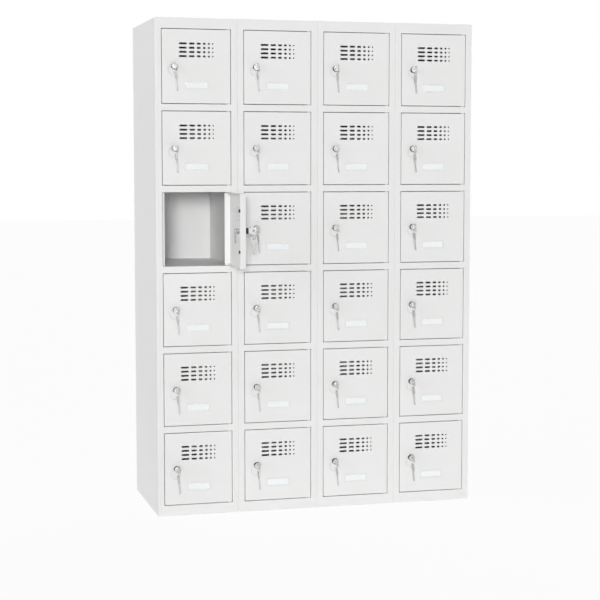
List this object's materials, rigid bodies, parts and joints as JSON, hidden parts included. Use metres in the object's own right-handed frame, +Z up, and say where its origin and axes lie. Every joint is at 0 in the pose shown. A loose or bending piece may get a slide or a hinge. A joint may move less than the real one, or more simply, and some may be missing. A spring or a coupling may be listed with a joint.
{
  "type": "luggage locker",
  "caption": "Steel luggage locker: columns of compartments with vented hinged doors, cam locks with keys on rings, card holders, shelves and side bolt holes.",
  "frame": {"origin": "middle of the cabinet's footprint, on the floor", "axes": "+Z up along the cabinet's height, -Y out of the doors, +X to the right seen from the front"},
  "size_m": [1.2, 0.7313, 1.8],
  "materials": {
    "powder_coat": "satin",
    "nickel_plate": "polished",
    "zinc_steel": "satin",
    "nylon": "satin",
    "rubber": "matte",
    "clear_plastic": "polished",
    "card": "matte"
  },
  "bodies": {
    "carcass": {"side_panel_left": "powder_coat", "side_panel_right": "powder_coat", "partition_panels": "powder_coat", "top_panels": "powder_coat", "base_panels": "powder_coat", "back_panels": "powder_coat", "shelves": "powder_coat", "strike_strips": "powder_coat", "hinge_pins": "zinc_steel", "hinge_washers": "nylon", "joining_bolts": "zinc_steel", "joining_nuts": "zinc_steel"},
    "door_c1_r1": {"door_c1_r1": "powder_coat"},
    "lock_c1_r1": {"lock_c1_r1": "nickel_plate"},
    "door_c1_r2": {"door_c1_r2": "powder_coat"},
    "lock_c1_r2": {"lock_c1_r2": "nickel_plate"},
    "door_c1_r3": {"door_c1_r3": "powder_coat"},
    "lock_c1_r3": {"lock_c1_r3": "nickel_plate"},
    "door_c1_r4": {"door_c1_r4": "powder_coat"},
    "lock_c1_r4": {"lock_c1_r4": "nickel_plate"},
    "door_c1_r5": {"door_c1_r5": "powder_coat"},
    "lock_c1_r5": {"lock_c1_r5": "nickel_plate"},
    "door_c1_r6": {"door_c1_r6": "powder_coat"},
    "lock_c1_r6": {"lock_c1_r6": "nickel_plate"},
    "door_c2_r1": {"door_c2_r1": "powder_coat"},
    "lock_c2_r1": {"lock_c2_r1": "nickel_plate"},
    "door_c2_r2": {"door_c2_r2": "powder_coat"},
    "lock_c2_r2": {"lock_c2_r2": "nickel_plate"},
    "door_c2_r3": {"door_c2_r3": "powder_coat"},
    "lock_c2_r3": {"lock_c2_r3": "nickel_plate"},
    "door_c2_r4": {"door_c2_r4": "powder_coat"},
    "lock_c2_r4": {"lock_c2_r4": "nickel_plate"},
    "door_c2_r5": {"door_c2_r5": "powder_coat"},
    "lock_c2_r5": {"lock_c2_r5": "nickel_plate"},
    "door_c2_r6": {"door_c2_r6": "powder_coat"},
    "lock_c2_r6": {"lock_c2_r6": "nickel_plate"},
    "door_c3_r1": {"door_c3_r1": "powder_coat"},
    "lock_c3_r1": {"lock_c3_r1": "nickel_plate"},
    "door_c3_r2": {"door_c3_r2": "powder_coat"},
    "lock_c3_r2": {"lock_c3_r2": "nickel_plate"},
    "door_c3_r3": {"door_c3_r3": "powder_coat"},
    "lock_c3_r3": {"lock_c3_r3": "nickel_plate"},
    "door_c3_r4": {"door_c3_r4": "powder_coat"},
    "lock_c3_r4": {"lock_c3_r4": "nickel_plate"},
    "door_c3_r5": {"door_c3_r5": "powder_coat"},
    "lock_c3_r5": {"lock_c3_r5": "nickel_plate"},
    "door_c3_r6": {"door_c3_r6": "powder_coat"},
    "lock_c3_r6": {"lock_c3_r6": "nickel_plate"},
    "door_c4_r1": {"door_c4_r1": "powder_coat"},
    "lock_c4_r1": {"lock_c4_r1": "nickel_plate"},
    "door_c4_r2": {"door_c4_r2": "powder_coat"},
    "lock_c4_r2": {"lock_c4_r2": "nickel_plate"},
    "door_c4_r3": {"door_c4_r3": "powder_coat"},
    "lock_c4_r3": {"lock_c4_r3": "nickel_plate"},
    "door_c4_r4": {"door_c4_r4": "powder_coat"},
    "lock_c4_r4": {"lock_c4_r4": "nickel_plate"},
    "door_c4_r5": {"door_c4_r5": "powder_coat"},
    "lock_c4_r5": {"lock_c4_r5": "nickel_plate"},
    "door_c4_r6": {"door_c4_r6": "powder_coat"},
    "lock_c4_r6": {"lock_c4_r6": "nickel_plate"}
  },
  "joints": [
    {"name": "hinge_c1_r1", "type": "hinge", "parent": "carcass", "child": "door_c1_r1", "pos_m": [-0.33235, -0.2413, 1.62833], "axis": [0, 0, 1], "range_deg": [0, 110]},
    {"name": "lock_turn_c1_r1", "type": "hinge", "parent": "door_c1_r1", "child": "lock_c1_r1", "pos_m": [-0.5313, -0.2413, 1.62833], "axis": [0, 1, 0], "range_deg": [0, 90]},
    {"name": "hinge_c1_r2", "type": "hinge", "parent": "carcass", "child": "door_c1_r2", "pos_m": [-0.33235, -0.2413, 1.337], "axis": [0, 0, 1], "range_deg": [0, 110]},
    {"name": "lock_turn_c1_r2", "type": "hinge", "parent": "door_c1_r2", "child": "lock_c1_r2", "pos_m": [-0.5313, -0.2413, 1.337], "axis": [0, 1, 0], "range_deg": [0, 90]},
    {"name": "hinge_c1_r3", "type": "hinge", "parent": "carcass", "child": "door_c1_r3", "pos_m": [-0.33235, -0.2413, 1.04567], "axis": [0, 0, 1], "range_deg": [-90.5, 19.5]},
    {"name": "lock_turn_c1_r3", "type": "hinge", "parent": "door_c1_r3", "child": "lock_c1_r3", "pos_m": [-0.33061, -0.44024, 1.04567], "axis": [-1, -0.0087, 0], "range_deg": [0, 90]},
    {"name": "hinge_c1_r4", "type": "hinge", "parent": "carcass", "child": "door_c1_r4", "pos_m": [-0.33235, -0.2413, 0.75433], "axis": [0, 0, 1], "range_deg": [0, 110]},
    {"name": "lock_turn_c1_r4", "type": "hinge", "parent": "door_c1_r4", "child": "lock_c1_r4", "pos_m": [-0.5313, -0.2413, 0.75433], "axis": [0, 1, 0], "range_deg": [0, 90]},
    {"name": "hinge_c1_r5", "type": "hinge", "parent": "carcass", "child": "door_c1_r5", "pos_m": [-0.33235, -0.2413, 0.463], "axis": [0, 0, 1], "range_deg": [0, 110]},
    {"name": "lock_turn_c1_r5", "type": "hinge", "parent": "door_c1_r5", "child": "lock_c1_r5", "pos_m": [-0.5313, -0.2413, 0.463], "axis": [0, 1, 0], "range_deg": [0, 90]},
    {"name": "hinge_c1_r6", "type": "hinge", "parent": "carcass", "child": "door_c1_r6", "pos_m": [-0.33235, -0.2413, 0.17167], "axis": [0, 0, 1], "range_deg": [0, 110]},
    {"name": "lock_turn_c1_r6", "type": "hinge", "parent": "door_c1_r6", "child": "lock_c1_r6", "pos_m": [-0.5313, -0.2413, 0.17167], "axis": [0, 1, 0], "range_deg": [0, 90]},
    {"name": "hinge_c2_r1", "type": "hinge", "parent": "carcass", "child": "door_c2_r1", "pos_m": [-0.0323, -0.2413, 1.62833], "axis": [0, 0, 1], "range_deg": [0, 110]},
    {"name": "lock_turn_c2_r1", "type": "hinge", "parent": "door_c2_r1", "child": "lock_c2_r1", "pos_m": [-0.23125, -0.2413, 1.62833], "axis": [0, 1, 0], "range_deg": [0, 90]},
    {"name": "hinge_c2_r2", "type": "hinge", "parent": "carcass", "child": "door_c2_r2", "pos_m": [-0.0323, -0.2413, 1.337], "axis": [0, 0, 1], "range_deg": [0, 110]},
    {"name": "lock_turn_c2_r2", "type": "hinge", "parent": "door_c2_r2", "child": "lock_c2_r2", "pos_m": [-0.23125, -0.2413, 1.337], "axis": [0, 1, 0], "range_deg": [0, 90]},
    {"name": "hinge_c2_r3", "type": "hinge", "parent": "carcass", "child": "door_c2_r3", "pos_m": [-0.0323, -0.2413, 1.04567], "axis": [0, 0, 1], "range_deg": [0, 110]},
    {"name": "lock_turn_c2_r3", "type": "hinge", "parent": "door_c2_r3", "child": "lock_c2_r3", "pos_m": [-0.23125, -0.2413, 1.04567], "axis": [0, 1, 0], "range_deg": [0, 90]},
    {"name": "hinge_c2_r4", "type": "hinge", "parent": "carcass", "child": "door_c2_r4", "pos_m": [-0.0323, -0.2413, 0.75433], "axis": [0, 0, 1], "range_deg": [0, 110]},
    {"name": "lock_turn_c2_r4", "type": "hinge", "parent": "door_c2_r4", "child": "lock_c2_r4", "pos_m": [-0.23125, -0.2413, 0.75433], "axis": [0, 1, 0], "range_deg": [0, 90]},
    {"name": "hinge_c2_r5", "type": "hinge", "parent": "carcass", "child": "door_c2_r5", "pos_m": [-0.0323, -0.2413, 0.463], "axis": [0, 0, 1], "range_deg": [0, 110]},
    {"name": "lock_turn_c2_r5", "type": "hinge", "parent": "door_c2_r5", "child": "lock_c2_r5", "pos_m": [-0.23125, -0.2413, 0.463], "axis": [0, 1, 0], "range_deg": [0, 90]},
    {"name": "hinge_c2_r6", "type": "hinge", "parent": "carcass", "child": "door_c2_r6", "pos_m": [-0.0323, -0.2413, 0.17167], "axis": [0, 0, 1], "range_deg": [0, 110]},
    {"name": "lock_turn_c2_r6", "type": "hinge", "parent": "door_c2_r6", "child": "lock_c2_r6", "pos_m": [-0.23125, -0.2413, 0.17167], "axis": [0, 1, 0], "range_deg": [0, 90]},
    {"name": "hinge_c3_r1", "type": "hinge", "parent": "carcass", "child": "door_c3_r1", "pos_m": [0.26775, -0.2413, 1.62833], "axis": [0, 0, 1], "range_deg": [0, 110]},
    {"name": "lock_turn_c3_r1", "type": "hinge", "parent": "door_c3_r1", "child": "lock_c3_r1", "pos_m": [0.0688, -0.2413, 1.62833], "axis": [0, 1, 0], "range_deg": [0, 90]},
    {"name": "hinge_c3_r2", "type": "hinge", "parent": "carcass", "child": "door_c3_r2", "pos_m": [0.26775, -0.2413, 1.337], "axis": [0, 0, 1], "range_deg": [0, 110]},
    {"name": "lock_turn_c3_r2", "type": "hinge", "parent": "door_c3_r2", "child": "lock_c3_r2", "pos_m": [0.0688, -0.2413, 1.337], "axis": [0, 1, 0], "range_deg": [0, 90]},
    {"name": "hinge_c3_r3", "type": "hinge", "parent": "carcass", "child": "door_c3_r3", "pos_m": [0.26775, -0.2413, 1.04567], "axis": [0, 0, 1], "range_deg": [0, 110]},
    {"name": "lock_turn_c3_r3", "type": "hinge", "parent": "door_c3_r3", "child": "lock_c3_r3", "pos_m": [0.0688, -0.2413, 1.04567], "axis": [0, 1, 0], "range_deg": [0, 90]},
    {"name": "hinge_c3_r4", "type": "hinge", "parent": "carcass", "child": "door_c3_r4", "pos_m": [0.26775, -0.2413, 0.75433], "axis": [0, 0, 1], "range_deg": [0, 110]},
    {"name": "lock_turn_c3_r4", "type": "hinge", "parent": "door_c3_r4", "child": "lock_c3_r4", "pos_m": [0.0688, -0.2413, 0.75433], "axis": [0, 1, 0], "range_deg": [0, 90]},
    {"name": "hinge_c3_r5", "type": "hinge", "parent": "carcass", "child": "door_c3_r5", "pos_m": [0.26775, -0.2413, 0.463], "axis": [0, 0, 1], "range_deg": [0, 110]},
    {"name": "lock_turn_c3_r5", "type": "hinge", "parent": "door_c3_r5", "child": "lock_c3_r5", "pos_m": [0.0688, -0.2413, 0.463], "axis": [0, 1, 0], "range_deg": [0, 90]},
    {"name": "hinge_c3_r6", "type": "hinge", "parent": "carcass", "child": "door_c3_r6", "pos_m": [0.26775, -0.2413, 0.17167], "axis": [0, 0, 1], "range_deg": [0, 110]},
    {"name": "lock_turn_c3_r6", "type": "hinge", "parent": "door_c3_r6", "child": "lock_c3_r6", "pos_m": [0.0688, -0.2413, 0.17167], "axis": [0, 1, 0], "range_deg": [0, 90]},
    {"name": "hinge_c4_r1", "type": "hinge", "parent": "carcass", "child": "door_c4_r1", "pos_m": [0.5678, -0.2413, 1.62833], "axis": [0, 0, 1], "range_deg": [0, 110]},
    {"name": "lock_turn_c4_r1", "type": "hinge", "parent": "door_c4_r1", "child": "lock_c4_r1", "pos_m": [0.36885, -0.2413, 1.62833], "axis": [0, 1, 0], "range_deg": [0, 90]},
    {"name": "hinge_c4_r2", "type": "hinge", "parent": "carcass", "child": "door_c4_r2", "pos_m": [0.5678, -0.2413, 1.337], "axis": [0, 0, 1], "range_deg": [0, 110]},
    {"name": "lock_turn_c4_r2", "type": "hinge", "parent": "door_c4_r2", "child": "lock_c4_r2", "pos_m": [0.36885, -0.2413, 1.337], "axis": [0, 1, 0], "range_deg": [0, 90]},
    {"name": "hinge_c4_r3", "type": "hinge", "parent": "carcass", "child": "door_c4_r3", "pos_m": [0.5678, -0.2413, 1.04567], "axis": [0, 0, 1], "range_deg": [0, 110]},
    {"name": "lock_turn_c4_r3", "type": "hinge", "parent": "door_c4_r3", "child": "lock_c4_r3", "pos_m": [0.36885, -0.2413, 1.04567], "axis": [0, 1, 0], "range_deg": [0, 90]},
    {"name": "hinge_c4_r4", "type": "hinge", "parent": "carcass", "child": "door_c4_r4", "pos_m": [0.5678, -0.2413, 0.75433], "axis": [0, 0, 1], "range_deg": [0, 110]},
    {"name": "lock_turn_c4_r4", "type": "hinge", "parent": "door_c4_r4", "child": "lock_c4_r4", "pos_m": [0.36885, -0.2413, 0.75433], "axis": [0, 1, 0], "range_deg": [0, 90]},
    {"name": "hinge_c4_r5", "type": "hinge", "parent": "carcass", "child": "door_c4_r5", "pos_m": [0.5678, -0.2413, 0.463], "axis": [0, 0, 1], "range_deg": [0, 110]},
    {"name": "lock_turn_c4_r5", "type": "hinge", "parent": "door_c4_r5", "child": "lock_c4_r5", "pos_m": [0.36885, -0.2413, 0.463], "axis": [0, 1, 0], "range_deg": [0, 90]},
    {"name": "hinge_c4_r6", "type": "hinge", "parent": "carcass", "child": "door_c4_r6", "pos_m": [0.5678, -0.2413, 0.17167], "axis": [0, 0, 1], "range_deg": [0, 110]},
    {"name": "lock_turn_c4_r6", "type": "hinge", "parent": "door_c4_r6", "child": "lock_c4_r6", "pos_m": [0.36885, -0.2413, 0.17167], "axis": [0, 1, 0], "range_deg": [0, 90]}
  ]
}
